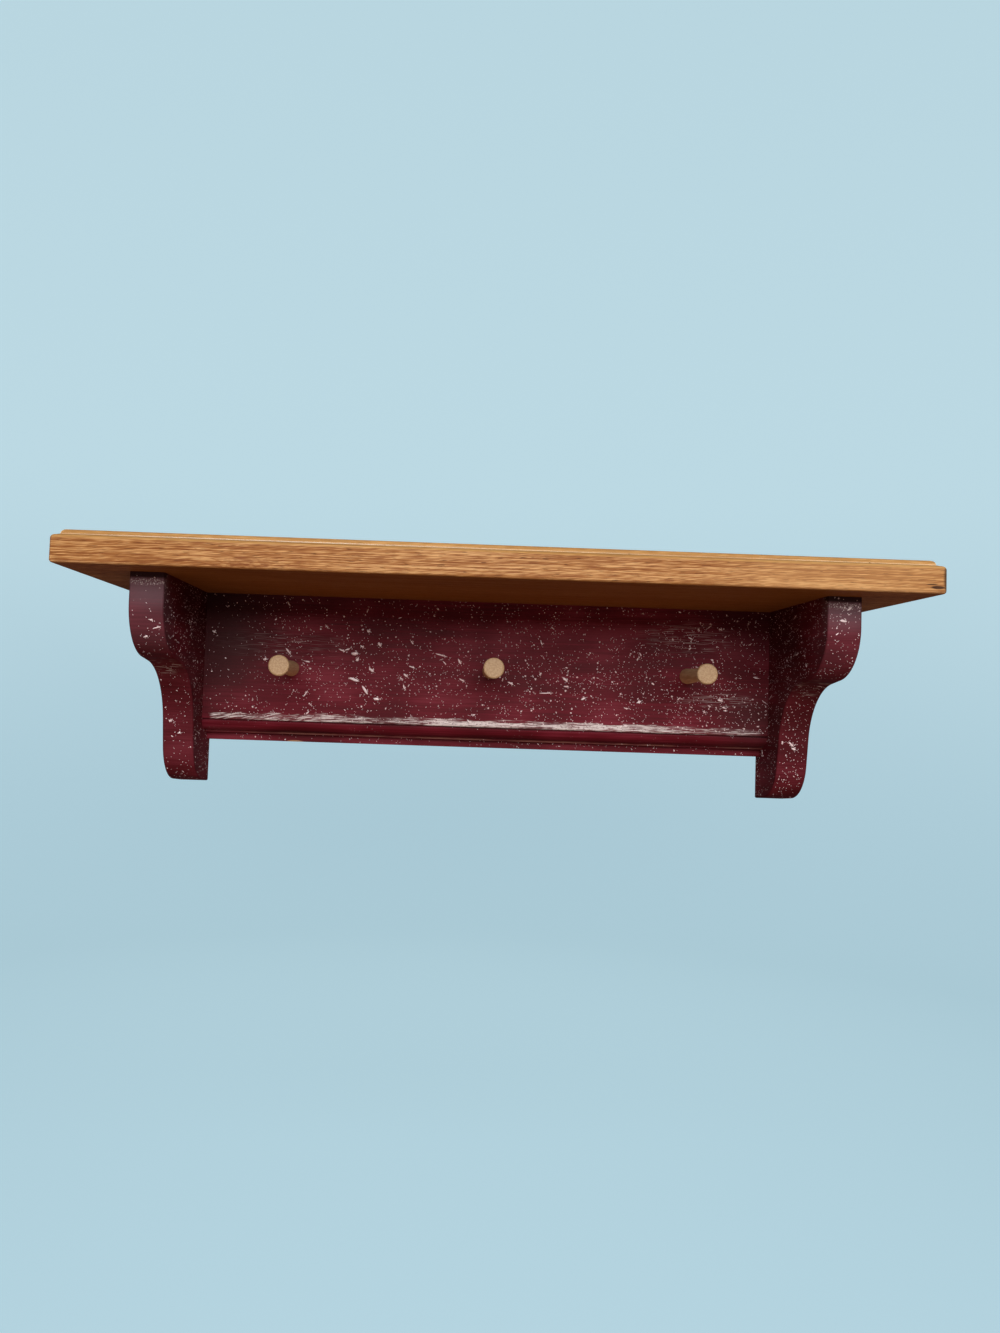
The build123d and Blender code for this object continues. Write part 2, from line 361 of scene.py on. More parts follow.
@dataclass(frozen=True)
class VarnishedOak:
    """Flat-sawn oak, moulded and brushed with thin varnish: fine warm streaks, open pores, dull shine.

    Streaks and fibres of half a millimetre or more are coarser than oak's own, which the render
    couldn't show.
    """

    early: str = "#86491C"
    middle: str = "#AD7139"
    late: str = "#DDA86C"
    pore: str = "#5E3315"
    worn_and_highlight: str = "#F4D9B0"
    highlight_cream: str = "#FFF1DA"
    gold_highlight: str = "#D9A663"
    underside_bounce: str = "#8A5316"
    crack_and_shade: str = "#35190D"
    streaks: Grain = Grain((75.0, 0.8, 0.7), start=7.0)
    fibres: Grain = Grain((11.0, 0.5, 0.5), start=15.0, lean=4.0)
    clouds: Grain = Grain((110.0, 30.0, 6.0), start=3.0)
    pores: Grain = Grain((6.5, 0.5, 0.42), start=21.0)
    figure: Grain = Grain((4.5, 1.0, 1.0), 2.0, 40.0)
    nicks: Grain = Grain((5.0, 3.0, 2.0), start=60.0)
    drift: Grain = Grain((220.0, 60.0, 50.0))
    waver: Grain = Grain((40.0, 9.0, 6.0), start=11.0)
    drift_push: float = 24.0
    waver_push: float = 2.0
    ring_width: float = 3.4
    pith: Triple = (0.0, -96.0, -62.0)
    knot: Patch = Patch((-143.0, -148.0, 33.0), (28.0, 14.0, 9.0), 0.9)
    knot_push: Patch = Patch((-143.0, -148.0, 33.0), (34.0, 30.0, 16.0), 1.0, 7.0)
    lit_third: Patch = Patch((196.0, -148.0, 41.0), (86.0, 3.0, 30.0), 0.6, 0.3)
    split: Patch = Patch((248.6, -148.0, 35.6), (5.4, 5.0, 1.25), 0.5, 0.9)
    crack: Patch = Patch((245.1, -148.0, 37.2), (4.5, 5.0, 0.45), 0.6, 0.9)
    end_shade: Patch = Patch((254.6, -148.0, 41.0), (3.4, 4.0, 13.0), 0.45, 0.85)
    highlit_left: Patch = Patch((-130.0, -148.0, 52.0), (150.0, 30.0, 12.0), 0.7)
    underside: Patch = Patch((0.0, -74.0, 32.0), (225.0, 400.0, 100.0), 0.1, 0.75)
    moulding_start: float = 46.5
    underside_height: float = 32.4
    fade: float = 0.4
    edge_reach: float = 1.2

    def material(self) -> Material:
        """Builds the solid oak pattern, so that faces, mouldings and ends agree with each other.

        Returns:
            The material.
        """
        oak = Surface("varnished_oak")
        rings = self.growth_rings(oak)
        streaks = oak.noise(self.streaks)
        tone = oak.toned(
            oak.blend((rings, 0.12), (streaks, 0.7), (oak.noise(self.fibres), 1.0),
                      (oak.noise(self.clouds), 0.3)),
            0.75, 1.37, self.early, self.middle, self.late)
        spring_wood = oak.add("ShaderNodeMapRange", {
            "Value": rings, "From Min": 0.75, "From Max": 0.25, "To Min": 0.4, "To Max": 0.9},
            interpolation_type="SMOOTHSTEP")
        pores = oak.product(oak.flecks(self.pores, 0.60, 0.68), spring_wood)
        torn = oak.add("ShaderNodeMath", {0: oak.within(self.crack), 1: oak.within(self.split)},
                       operation="MAXIMUM")
        edge = oak.rubbed(self.edge_reach)
        on_moulding = oak.past("Z", self.moulding_start - self.fade, self.moulding_start + self.fade)
        on_underside = oak.past("Z", self.underside_height + self.fade, self.underside_height - self.fade)
        tone = oak.layered(
            tone,
            (pores, self.pore),
            (oak.product(oak.within(self.knot), oak.flecks(self.figure, 0.44, 0.58, 0.0, 0.95)), self.early),
            # Painted light: the right third of the front is made paler, as a pool of light
            (oak.within(self.lit_third), self.late),
            (torn, self.crack_and_shade),
            # Painted shade: a dark band down the right end of the front, where the rounded end turns from the
            # light
            (oak.within(self.end_shade), self.crack_and_shade),
            # Painted highlight: the moulding, which faces up towards the light, is made lighter and golden
            (oak.product(on_moulding, 0.5), self.gold_highlight),
            # Pale edges: partly wear, partly painted highlight where the varnish catches the light
            (oak.product(edge, oak.flecks(self.streaks, 0.35, 0.6, 0.4, 0.95)), self.worn_and_highlight),
            # Painted highlight: near-white lines along the moulding's edges on the left
            (oak.product(edge, oak.within(self.highlit_left)), self.highlight_cream),
            (oak.product(edge, oak.flecks(self.nicks, 0.69, 0.74)), self.pore),
            # Painted light: the underside is coloured a deeper orange-brown for the warm light bounced onto it
            (oak.product(on_underside, oak.within(self.underside)), self.underside_bounce))
        heights = oak.add("ShaderNodeMath", {0: streaks, 1: pores}, operation="SUBTRACT")
        return oak.finish({
            "Base Color": tone, "Roughness": oak.flecks(self.streaks, 0.3, 0.7, 0.60, 0.48),
            "Specular IOR Level": 0.22}, heights, strength=0.6, depth=0.10)

    def growth_rings(self, oak: Surface) -> Node:
        """Draws rings round a pith below the board, pushed about by slow noise and by the knot.

        Args:
            oak: The oak's surface.

        Returns:
            A value from nought at the start of a year's growth to one at its end.
        """
        moved = oak.place
        for grain, distance in ((self.drift, self.drift_push), (self.waver, self.waver_push)):
            push = oak.add("ShaderNodeVectorMath", {
                0: oak.noise(grain).outputs["Color"], "Scale": distance}, operation="SCALE")
            moved = oak.add("ShaderNodeVectorMath", {0: moved, 1: push}, operation="ADD")
        from_pith = oak.add("ShaderNodeMapping", {
            "Vector": moved, "Location": tuple(-c for c in self.pith), "Scale": (0.0, 1.0, 1.0)})
        radius = oak.add("ShaderNodeVectorMath", {0: from_pith}, operation="LENGTH").outputs["Value"]
        radius = oak.add("ShaderNodeMath", {0: radius, 1: oak.within(self.knot_push)}, operation="ADD")
        return oak.add("ShaderNodeMath", {0: oak.product(radius, 1 / self.ring_width)}, operation="FRACT")


class WearAndShade(Enum):
    """Which painted piece the marks are for: its wear, and its painted shade, sheen and highlights, besides
    the spatter.
    """

    BOARD = "board"
    LEFT_BRACKET = "left_bracket"
    RIGHT_BRACKET = "right_bracket"


@dataclass(frozen=True)
class BrushedPaint:
    """Dark red semi-gloss paint brushed on softwood: level brush lines, a dull sheen, pale dry scuffs, and
    painted shade, sheen and highlights.

    Brush lines of 0.8 mm are coarser than bristle marks, which are too fine for the render. A bound is
    an axis and the levels on it, in millimetres, where a mark begins to show and where it shows in full.
    """

    wear_and_shade: WearAndShade
    deep: str = "#520F18"
    body: str = "#691724"
    thin: str = "#822D3A"
    grime_and_shade: str = "#3A2021"
    shadow_tone: str = "#1C090C"
    mauve_sheen: str = "#5A4147"
    grey_sheen: str = "#8B7880"
    # Pale cream for the specks and scuffs, and for the painted highlight streak and glare
    scuff_and_highlight: str = "#EADDD9"
    # Painted highlight: the colour of the light line along the fillet's edge
    edge: str = "#8C564C"
    bare_wood: str = "#B98D6A"
    brush: Grain = Grain((45.0, 45.0, 0.8), 3.0)
    clouds: Grain = Grain((60.0, 60.0, 26.0), 2.0, 5.0)
    drifts: Grain = Grain((22.0, 22.0, 16.0), start=9.0)
    board_hairs: Grain = Grain((13.0, 13.0, 0.34), 0.0, 30.0)
    bracket_hairs: Grain = Grain((9.0, 9.0, 0.5), start=30.0)
    stipple: Grain = Grain((0.8, 0.8, 0.8), start=30.0)
    highlight_breaks: Grain = Grain((30.0, 9.0, 9.0), 2.0, 80.0)
    speck_spacing: float = 2.4
    largest_speck: float = 0.13
    speck_share: float = 0.4
    speck_bounds: tuple[tuple[str, float, float], ...] = (("Y", -0.3, -0.6), ("Z", -80.0, -40.0))
    edge_reach: float = 0.8
    streak_bounds: tuple[tuple[str, float, float], ...] = (
        ("Z", -55.4, -54.9), ("X", -192.0, -188.0), ("X", 194.0, 188.0), ("Y", -20.0, -22.0))
    streak_top: tuple[float, float] = (-45.8, -47.4)
    ragged_top: Grain = Grain((14.0, 14.0, 1.5), 3.0, 50.0)
    raggedness: float = 8.0
    slanted_hairs: Grain = Grain((9.0, 9.0, 0.55), 2.0, 90.0, 11.0)
    level_hairs: Grain = Grain((9.0, 9.0, 0.42), 2.0, 70.0)
    level_from: tuple[str, float, float] = ("X", -128.0, -112.0)
    gaps: Grain = Grain((1.6, 1.6, 0.9), start=110.0)
    brightness_share: float = 0.27

    def material(self) -> Material:
        """Builds the paint for one piece.

        Returns:
            The material.
        """
        paint = Surface("brushed_red_paint_" + self.wear_and_shade.value)
        brush = paint.noise(self.brush)
        tone = paint.toned(paint.blend((brush, 0.45), (paint.noise(self.clouds), 0.75)), 0.40, 0.82,
                           self.deep, self.body, self.thin)
        rubbed = paint.product(paint.rubbed(self.edge_reach), paint.flecks(self.brush, 0.4, 0.7, 0.0, 0.45))
        marks = self.board_marks(paint) if self.wear_and_shade is WearAndShade.BOARD else self.bracket_marks(paint)
        tone = paint.layered(tone, (rubbed, self.thin), (self.mist(paint), self.scuff_and_highlight), *marks)
        return paint.finish({
            "Base Color": tone, "Roughness": paint.flecks(self.brush, 0.3, 0.7, 0.42, 0.54),
            "Specular IOR Level": 0.1}, brush, strength=0.35, depth=0.05)

    def mist(self, paint: Surface) -> Source:
        """Specks of about half a millimetre, in drifts, too small and many to model.

        Args:
            paint: The painted surface.

        Returns:
            How much of the cream shows in each speck, and nought on the wall's side and at the foot.
        """
        cells = paint.add("ShaderNodeTexVoronoi", {
            "Vector": paint.place, "Scale": 1 / self.speck_spacing}, feature="F1")
        size = paint.flecks(self.drifts, 0.38, 0.62, 0.0, self.largest_speck)
        inside = paint.add("ShaderNodeMath", {0: cells.outputs["Distance"], 1: size}, operation="LESS_THAN")
        bounds = (paint.past(*bound) for bound in self.speck_bounds)
        return paint.product(inside, *bounds, self.speck_share)

    def board_marks(self, paint: Surface) -> list[tuple[Source, str]]:
        """The grime and painted shade at the ends, painted shadow under the shelf, scuffs, painted highlights
        and a chip of the peg board.

        Args:
            paint: The board's surface.

        Returns:
            Masks and colours, to be laid over the paint in turn.
        """
        # Painted shade at both ends of the board, beside the brackets, laid on as darker grime
        end_grime_and_shade = (Patch((-196.0, -24.0, 6.0), (72.0, 30.0, 74.0), 0.8, 0.8),
                 Patch((196.0, -24.0, -46.0), (52.0, 30.0, 40.0), 0.8, 0.55))
        # Painted shadow that the shelf casts over the top of the board
        board_top_shadow = (Patch((200.0, -24.0, 30.0), (80.0, 30.0, 60.0), 0.9, 0.6),
                   Patch((-150.0, -24.0, 36.0), (120.0, 30.0, 30.0), 0.9, 0.6))
        scuffs = (Patch((138.0, -24.0, 12.0), (42.0, 4.0, 15.0), 0.9, 0.6),
                  Patch((160.0, -24.0, -31.0), (34.0, 4.0, 7.0), 0.9, 0.6),
                  Patch((-140.0, -24.0, -2.0), (60.0, 4.0, 14.0), 0.9, 0.2))
        # Painted highlight: a broken light line along the fillet's edge above the lip
        fillet_highlight = Patch((0.0, -13.0, -64.0), (260.0, 3.0, 0.9), 0.4)
        lip_chip = Patch((-134.5, -8.0, -70.2), (7.2, 3.0, 1.3), 0.3)
        hairs = paint.flecks(self.board_hairs, 0.62, 0.69)
        return [*((paint.within(patch), self.grime_and_shade) for patch in end_grime_and_shade),
                *((paint.within(patch), self.shadow_tone) for patch in board_top_shadow),
                *((paint.product(hairs, paint.within(patch)), self.scuff_and_highlight) for patch in scuffs),
                (paint.product(paint.within(fillet_highlight), paint.flecks(self.highlight_breaks, 0.35, 0.6)), self.edge),
                (self.arris_highlight_streak(paint), self.scuff_and_highlight),
                (paint.within(lip_chip), self.bare_wood)]

    def bracket_marks(self, paint: Surface) -> list[tuple[Source, str]]:
        """The darker lower half, painted shade, painted sheen, scuffs and painted glare of one bracket.

        Args:
            paint: The bracket's surface.

        Returns:
            Masks and colours, to be laid over the paint in turn.
        """
        is_left = self.wear_and_shade is WearAndShade.LEFT_BRACKET
        middle, inner = (-207.0, -196.75) if is_left else (207.0, 196.75)
        # Darker over the lower half; painted shade on the inner side under the shelf; painted sheen on the
        # front and the top of the nose
        shade_and_sheen = ((Patch((middle, -70.0, -62.0), (60.0, 70.0, 70.0), 0.5, 0.38), self.grime_and_shade),
                  (Patch((inner, -40.0, 26.0), (8.0, 76.0, 62.0), 0.8, 0.6), self.shadow_tone),
                  (Patch((middle, -122.0, 4.0), (40.0, 34.0, 42.0), 0.7, 0.5 if is_left else 0.3), self.mauve_sheen),
                  (Patch((middle, -122.0, 32.0), (40.0, 14.0, 26.0), 0.7, 0.34), self.grey_sheen))
        waist = Patch((middle, -76.0, -21.0), (14.0, 26.0, 12.0), 0.7, 0.6)
        # Painted glare: a pale stipple band just under the shelf's shadow on the front
        glare_band = Patch((middle, -122.0, 26.2), (16.0, 4.0, 2.6), 0.5, 0.6)
        # Painted shadow of the shelf across the top of the front
        under_shelf_shadow = Patch((middle, -122.0, 33.0), (60.0, 8.0, 5.2), 0.3, 0.8)
        return [*((paint.within(patch), colour) for patch, colour in shade_and_sheen),
                (paint.product(paint.flecks(self.bracket_hairs, 0.60, 0.66), paint.within(waist)), self.scuff_and_highlight),
                (paint.product(paint.flecks(self.stipple, 0.50, 0.66), paint.within(glare_band)), self.scuff_and_highlight),
                (paint.within(under_shelf_shadow), self.shadow_tone)]

    def arris_highlight_streak(self, paint: Surface) -> Source:
        """A painted highlight along the board's rounded arris just above its quirk, drawn as a ragged pale
        streak.

        Args:
            paint: The board's surface.

        Returns:
            How much of the painted highlight shows.
        """
        height = paint.add("ShaderNodeSeparateXYZ", {0: paint.place}).outputs["Z"]
        ragged = paint.blend((paint.noise(self.ragged_top), self.raggedness), (height, 1.0))
        start, end = self.streak_top
        below_top = paint.add("ShaderNodeMapRange", {"Value": ragged, "From Min": start, "From Max": end},
                              interpolation_type="SMOOTHSTEP")
        band = paint.product(below_top, *(paint.past(*bound) for bound in self.streak_bounds))
        # Grey along the ramp is how bright the painted highlight is along the board, and it fades twice
        brightness_along = paint.add("ShaderNodeValToRGB", {0: paint.past("X", -196.0, 196.0)}, [
            (0.02, "#C0C0C0"), (0.17, "#C8C8C8"), (0.22, "#808080"), (0.25, "#A8A8A8"), (0.35, "#C8C8C8"),
            (0.37, "#FFFFFF"), (0.57, "#FFFFFF"), (0.62, "#D0D0D0"), (0.66, "#D4D4D4"), (0.69, "#FAFAFA"),
            (0.88, "#F0F0F0"), (0.98, "#909090")])
        level = (paint.past(*self.level_from), paint.noise(self.level_hairs))
        hairs = paint.layered(paint.noise(self.slanted_hairs), level)
        streak = paint.add("ShaderNodeMapRange", {
            "Value": paint.blend((hairs, 1.0), (brightness_along, self.brightness_share)), "From Min": 0.60, "From Max": 0.77,
            "To Min": 0.05, "To Max": 0.95}, interpolation_type="SMOOTHSTEP")
        return paint.product(band, streak, paint.flecks(self.gaps, 0.34, 0.42, 0.45))


@dataclass(frozen=True)
class TurnedBirch:
    """Bare birch turned on a lathe: pale and matt, end grain on the head, fine tool rings on the shaft."""

    light: str = "#E2C296"
    dark: str = "#C0986B"
    end_light: str = "#C2A37B"
    end_dark: str = "#AE8861"
    fibres: Grain = Grain((0.7, 16.0, 0.7), 2.0)
    clouds: Grain = Grain((4.0, 30.0, 4.0), 2.0, 4.0)
    end_flecks: Grain = Grain((1.1, 30.0, 1.1), 2.0, 12.0)
    tool_rings: Grain = Grain((60.0, 0.5, 60.0), start=8.0)
    head: float = -74.0

    def material(self) -> Material:
        """Builds grain along the pegs, which point out of the board, and their darker end grain.

        Returns:
            The material.
        """
        birch = Surface("turned_birch")
        mixed = birch.blend((birch.noise(self.fibres), 1.0), (birch.noise(self.clouds), 1.0))
        side = birch.toned(mixed, 0.70, 1.30, self.dark, self.light)
        end = birch.toned(birch.noise(self.end_flecks), 0.36, 0.66, self.end_dark, self.end_light)
        tone = birch.layered(side, (birch.past("Y", self.head + 0.7, self.head + 0.15), end))
        return birch.finish({"Base Color": tone, "Roughness": 0.55}, birch.noise(self.tool_rings),
                            strength=0.3, depth=0.04)


@dataclass(frozen=True)
class BareBeech:
    """Bare machined beech dowel: pinkish, even, with short darker flecks along it."""

    light: str = "#D2AE80"
    dark: str = "#A67C52"
    flecks: Grain = Grain((2.0, 2.0, 2.0), 3.0)

    def material(self) -> Material:
        """Builds the flecked beech.

        Returns:
            The material.
        """
        beech = Surface("bare_beech")
        tone = beech.toned(beech.noise(self.flecks), 0.35, 0.65, self.dark, self.light)
        return beech.finish({"Base Color": tone, "Roughness": 0.6})


@dataclass(frozen=True)
class ZincPlate:
    """Steel, pressed or rolled and zinc plated: bright grey with a faint crystalline cloudiness."""

    name: str
    bright: str = "#C4C7CA"
    dull: str = "#9EA2A6"
    crystal: float = 2.5

    def material(self) -> Material:
        """Builds the plated metal.

        Returns:
            The material.
        """
        plate = Surface(self.name)
        crystals = Grain((self.crystal,) * 3, 3.0)
        tone = plate.toned(plate.noise(crystals), 0.35, 0.65, self.dull, self.bright)
        return plate.finish({"Base Color": tone, "Metallic": 1.0,
                             "Roughness": plate.flecks(crystals, 0.3, 0.7, 0.42, 0.28)})


@dataclass(frozen=True)
class CreamDrops:
    """Dried drops of off-white gloss paint: low domes that catch the light on their upper sides."""

    light: str = "#FFEDEE"
    dull: str = "#F8DEDF"
    tones: Grain = Grain((6.0, 6.0, 6.0))

    def material(self) -> Material:
        """Builds the cream paint.

        Returns:
            The material.
        """
        cream = Surface("cream_paint_drops")
        tone = cream.toned(cream.noise(self.tones), 0.35, 0.65, self.dull, self.light)
        return cream.finish({"Base Color": tone, "Roughness": 0.3, "Specular IOR Level": 0.9})


class GeometryTree(Graph):
    """A Geometry Nodes tree in the making, with its lengths in metres."""

    def __init__(self, name: str, sockets: dict[str, str]) -> None:
        """Starts the tree.

        Args:
            name: What the tree makes.
            sockets: The named inputs and the kind of each.
        """
        super().__init__(bpy.data.node_groups.new(name, "GeometryNodeTree"))
        for socket, kind in sockets.items():
            self.tree.interface.new_socket(socket, in_out="INPUT", socket_type="NodeSocket" + kind)
        self.tree.interface.new_socket("Geometry", in_out="OUTPUT", socket_type="NodeSocketGeometry")
        self.given = self.add("NodeGroupInput").outputs

    def grow(self, name: str, start: Mesh, values: dict) -> Mesh:
        """Runs the tree on a mesh and keeps its result as a plain mesh.

        Args:
            name: Name for the result.
            start: The mesh that the tree starts from.
            values: The tree's inputs, by name.

        Returns:
            The plain mesh.
        """
        host = bpy.data.objects.new(name, start)
        bpy.context.scene.collection.objects.link(host)
        modifier = host.modifiers.new(name, "NODES")
        modifier.node_group = self.tree
        for item in self.tree.interface.items_tree:
            if item.in_out == "INPUT" and item.name in values:
                modifier[item.identifier] = values[item.name]
        bpy.context.view_layer.update()
        grown = bpy.data.meshes.new_from_object(host.evaluated_get(bpy.context.evaluated_depsgraph_get()))
        host.modifiers.remove(modifier)
        bpy.data.objects.remove(host)
        grown.name = name
        return grown


def add_piece(name: str, mesh: Mesh) -> Object:
    """Puts a finished mesh in the scene, riding on the shelf.

    Args:
        name: The piece's name.
        mesh: Its mesh.

    Returns:
        The piece.
    """
    piece = bpy.data.objects.new(name, mesh)
    bpy.context.scene.collection.objects.link(piece)
    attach(piece, BODY)
    LOG.info("%s: %d faces", name, len(mesh.polygons))
    return piece


def dress(node: str, material: Material) -> None:
    """Gives a CAD node its finish.

    Args:
        node: The node's name.
        material: The finish.
    """
    slots = NODES[node].data.materials
    slots.clear()
    slots.append(material)
    LOG.info("%s: %s", node, material.name)


class SpatterTree(GeometryTree):
    """Turns painted faces into dried drops, with thin strokes among them.

    Its geometry input holds the marked drops, and the rest fall at random. Each draw is the least
    and the most of a random number, and its seed. Each thinning is an axis, the shares of the piece's
    size along it where the drops begin to thin out and where they are thinnest, and its input.
    """

    throw_reach: float = 0.3
    drift_size: float = 18 * MM
    drift_noise: tuple[float, float] = (0.34, 0.66)
    drift_density: tuple[float, float] = (0.45, 1.6)
    thinning: tuple[tuple[str, float, float, str], ...] = (
        ("X", 0.32, 0.0, "Thin Left"), ("X", 0.8, 1.0, "Thin Right"), ("Z", 0.55, 1.0, "Thin Top"))
    speck_power: float = 11.0
    stroke_power: float = 6.0
    longest_stretch: float = 3.4
    narrowing: float = -0.4
    odd_share: float = 0.28
    throwing_length: float = 2.6 * MM
    droplets_each: int = 5
    rounded_length: float = 2.2 * MM
    room_share: float = 0.55
    dome_share: float = 0.42
    creep_size: float = 1.1 * MM
    creep_share: float = 0.6
    draws: dict[str, tuple[float, float, int]] = {
        "size": (0.0, 1.0, 1), "stretch": (0.0, 1.0, 2), "odd": (0.0, 1.0, 5),
        "usual_lean": (-1.1, -0.1, 3), "odd_lean": (0.2, 1.2, 4),
        "along": (-1.0, 1.0, 11), "across": (-1.3, 1.3, 12),
        "droplet_length": (0.4 * MM, 1.2 * MM, 13), "droplet_width": (0.35 * MM, 0.6 * MM, 14)}

    def __init__(self) -> None:
        """Builds the tree."""
        super().__init__("paint_spatter", {
            "Marks": "Geometry", "Painted Faces": "Object", "Keep Clear": "Object", "Drops": "Float",
            "Low Corner": "Vector", "High Corner": "Vector", "Thin Left": "Float", "Thin Right": "Float",
            "Thin Top": "Float", "Smallest": "Float", "Largest": "Float", "Seed": "Int", "Paint": "Material"})
        self.painted, clear = (
            self.add("GeometryNodeObjectInfo", {"Object": self.given[name]}).outputs["Geometry"]
            for name in ("Painted Faces", "Keep Clear"))
        self.length, self.width, self.lean, self.facing = (
            self.add("GeometryNodeInputNamedAttribute", {"Name": name}, data_type=kind)
            for name, kind in (("length", "FLOAT"), ("width", "FLOAT"), ("lean", "FLOAT"),
                               ("facing", "FLOAT_VECTOR")))
        self.draw = {name: self.add("FunctionNodeRandomValue", {2: low, 3: high, "Seed": seed}).outputs[1]
                     for name, (low, high, seed) in self.draws.items()}
        points = self.add("GeometryNodeJoinGeometry", {0: [self.thrown_drops(), self.marked_drops()]})
        turn = self.turn()
        points = self.add("GeometryNodeJoinGeometry", {0: [points, self.droplets(points, turn)]})

        # A drop that would reach over an edge or into a neighbour is left out
        room = self.add("GeometryNodeProximity", {"Geometry": clear}, target_element="FACES")
        tight = self.add("FunctionNodeCompare", {
            0: room.outputs["Distance"], 1: self.product(self.length, self.room_share)}, operation="LESS_THAN")
        points = self.add("GeometryNodeDeleteGeometry", {"Geometry": points, "Selection": tight})
        drops = self.crept(self.domes(points, turn))
        drops = self.add("GeometryNodeSetShadeSmooth", {"Geometry": drops})
        drops = self.add("GeometryNodeSetMaterial", {"Geometry": drops, "Material": self.given["Paint"]})
        self.add("NodeGroupOutput", {0: drops})

    def stored(self, points: Source, values: dict[str, Source]) -> Source:
        """Keeps values on each point.

        Args:
            points: The points.
            values: A number, or a direction for facing, by name.

        Returns:
            The points with their values.
        """
        for name, value in values.items():
            points = self.add(
                "GeometryNodeStoreNamedAttribute", {"Geometry": points, "Name": name, "Value": value},
                data_type="FLOAT_VECTOR" if name == "facing" else "FLOAT")
        return points

    def marked_drops(self) -> Node:
        """Throws the marked drops straight at the piece.

        Returns:
            Points where they hit, facing as the surface does.
        """
        hit = self.add("GeometryNodeRaycast", {
            "Target Geometry": self.painted, "Ray Direction": (0.0, 1.0, 0.0),
            "Ray Length": self.throw_reach})
        points = self.add("GeometryNodeMeshToPoints", {"Mesh": self.given["Marks"]})
        points = self.stored(points, {"facing": hit.outputs["Hit Normal"]})
        return self.add("GeometryNodeSetPosition", {
            "Geometry": points, "Position": hit.outputs["Hit Position"]})

    def thrown_drops(self) -> Source:
        """Scatters the rest in drifts, thinner towards the ends and the top.

        Returns:
            Points with the length, width, lean and facing of each drop.
        """
        position = self.add("GeometryNodeInputPosition")
        drift = self.add("ShaderNodeTexNoise", {
            "Vector": position, "Scale": 1 / self.drift_size, "Detail": 1.0})
        (low, high), (least, most) = self.drift_noise, self.drift_density
        density = self.add("ShaderNodeMapRange", {
            "Value": drift, "From Min": low, "From Max": high, "To Min": least, "To Max": most})
        share = self.add("ShaderNodeMapRange", {
            "Vector": position, 7: self.given["Low Corner"], 8: self.given["High Corner"]},
            data_type="FLOAT_VECTOR")
        share = self.add("ShaderNodeSeparateXYZ", {0: share.outputs["Vector"]})
        for axis, start, end, thin in self.thinning:
            missing = self.add("ShaderNodeMapRange", {
                "Value": share.outputs[axis], "From Min": start, "From Max": end, "To Min": 0.0,
                "To Max": self.given[thin]}, interpolation_type="SMOOTHSTEP")
            left_over = self.add("ShaderNodeMath", {0: 1.0, 1: missing}, operation="SUBTRACT")
            density = self.product(density, left_over)
        fallen = self.add("GeometryNodeDistributePointsOnFaces", {
            "Mesh": self.painted, "Density": self.product(density, self.given["Drops"]),
            "Seed": self.given["Seed"]})

        # Most are specks, and most of them are round
        rare = self.add("ShaderNodeMath", {0: self.draw["size"], 1: self.speck_power}, operation="POWER")
        radius = self.add("ShaderNodeMapRange", {
            "Value": rare, "To Min": self.given["Smallest"], "To Max": self.given["Largest"]})
        stretch = self.add("ShaderNodeMath", {
            0: self.draw["stretch"], 1: self.stroke_power}, operation="POWER")
        stretch = self.add("ShaderNodeMapRange", {
            "Value": stretch, "To Min": 1.0, "To Max": self.longest_stretch})
        narrow = self.add("ShaderNodeMath", {0: stretch, 1: self.narrowing}, operation="POWER")
        odd = self.add("FunctionNodeCompare", {0: self.draw["odd"], 1: self.odd_share}, operation="LESS_THAN")
        lean = self.add("GeometryNodeSwitch", {
            "Switch": odd, "False": self.draw["usual_lean"], "True": self.draw["odd_lean"]},
            input_type="FLOAT")
        return self.stored(fallen, {
            "length": self.product(radius, 2.0, stretch), "width": self.product(radius, 2.0, narrow),
            "lean": lean, "facing": fallen.outputs["Normal"]})

    def turn(self) -> Node:
        """Lays each drop flat on its face, turned from the level by its lean.

        Returns:
            The rotation.
        """
        level = self.add("ShaderNodeVectorMath", {0: UPRIGHT, 1: self.facing}, operation="CROSS_PRODUCT")
        along = self.add("FunctionNodeAlignRotationToVector", {"Vector": level}, axis="X")
        flat = self.add("FunctionNodeAlignRotationToVector", {
            "Rotation": along, "Vector": self.facing}, axis="Z", pivot_axis="X")
        leaning = self.add("FunctionNodeAxisAngleToRotation", {"Axis": UPRIGHT, "Angle": self.lean})
        return self.add("FunctionNodeRotateRotation", {
            "Rotation": flat, "Rotate By": leaning}, rotation_space="LOCAL")

    def droplets(self, points: Node, turn: Node) -> Source:
        """Adds the droplets that a large drop throws off along its own line.

        Args:
            points: All the drops so far.
            turn: How each drop is turned.

        Returns:
            Points for the droplets alone.
        """
        is_large = self.add("FunctionNodeCompare", {
            0: self.length, 1: self.throwing_length}, operation="GREATER_THAN")
        thrown = self.add("GeometryNodeDuplicateElements", {
            "Geometry": points, "Selection": is_large, "Amount": self.droplets_each}, domain="POINT")
        offset = self.add("ShaderNodeCombineXYZ", {
            "X": self.product(self.length, self.draw["along"]),
            "Y": self.product(self.width, self.draw["across"])})
        offset = self.add("FunctionNodeRotateVector", {"Vector": offset, "Rotation": turn})
        moved = self.add("GeometryNodeSetPosition", {"Geometry": thrown, "Offset": offset})
        nearest = self.add("GeometryNodeProximity", {"Geometry": self.painted}, target_element="FACES")
        moved = self.add("GeometryNodeSetPosition", {
            "Geometry": moved, "Position": nearest.outputs["Position"]})
        return self.stored(moved, {
            "length": self.draw["droplet_length"], "width": self.draw["droplet_width"]})

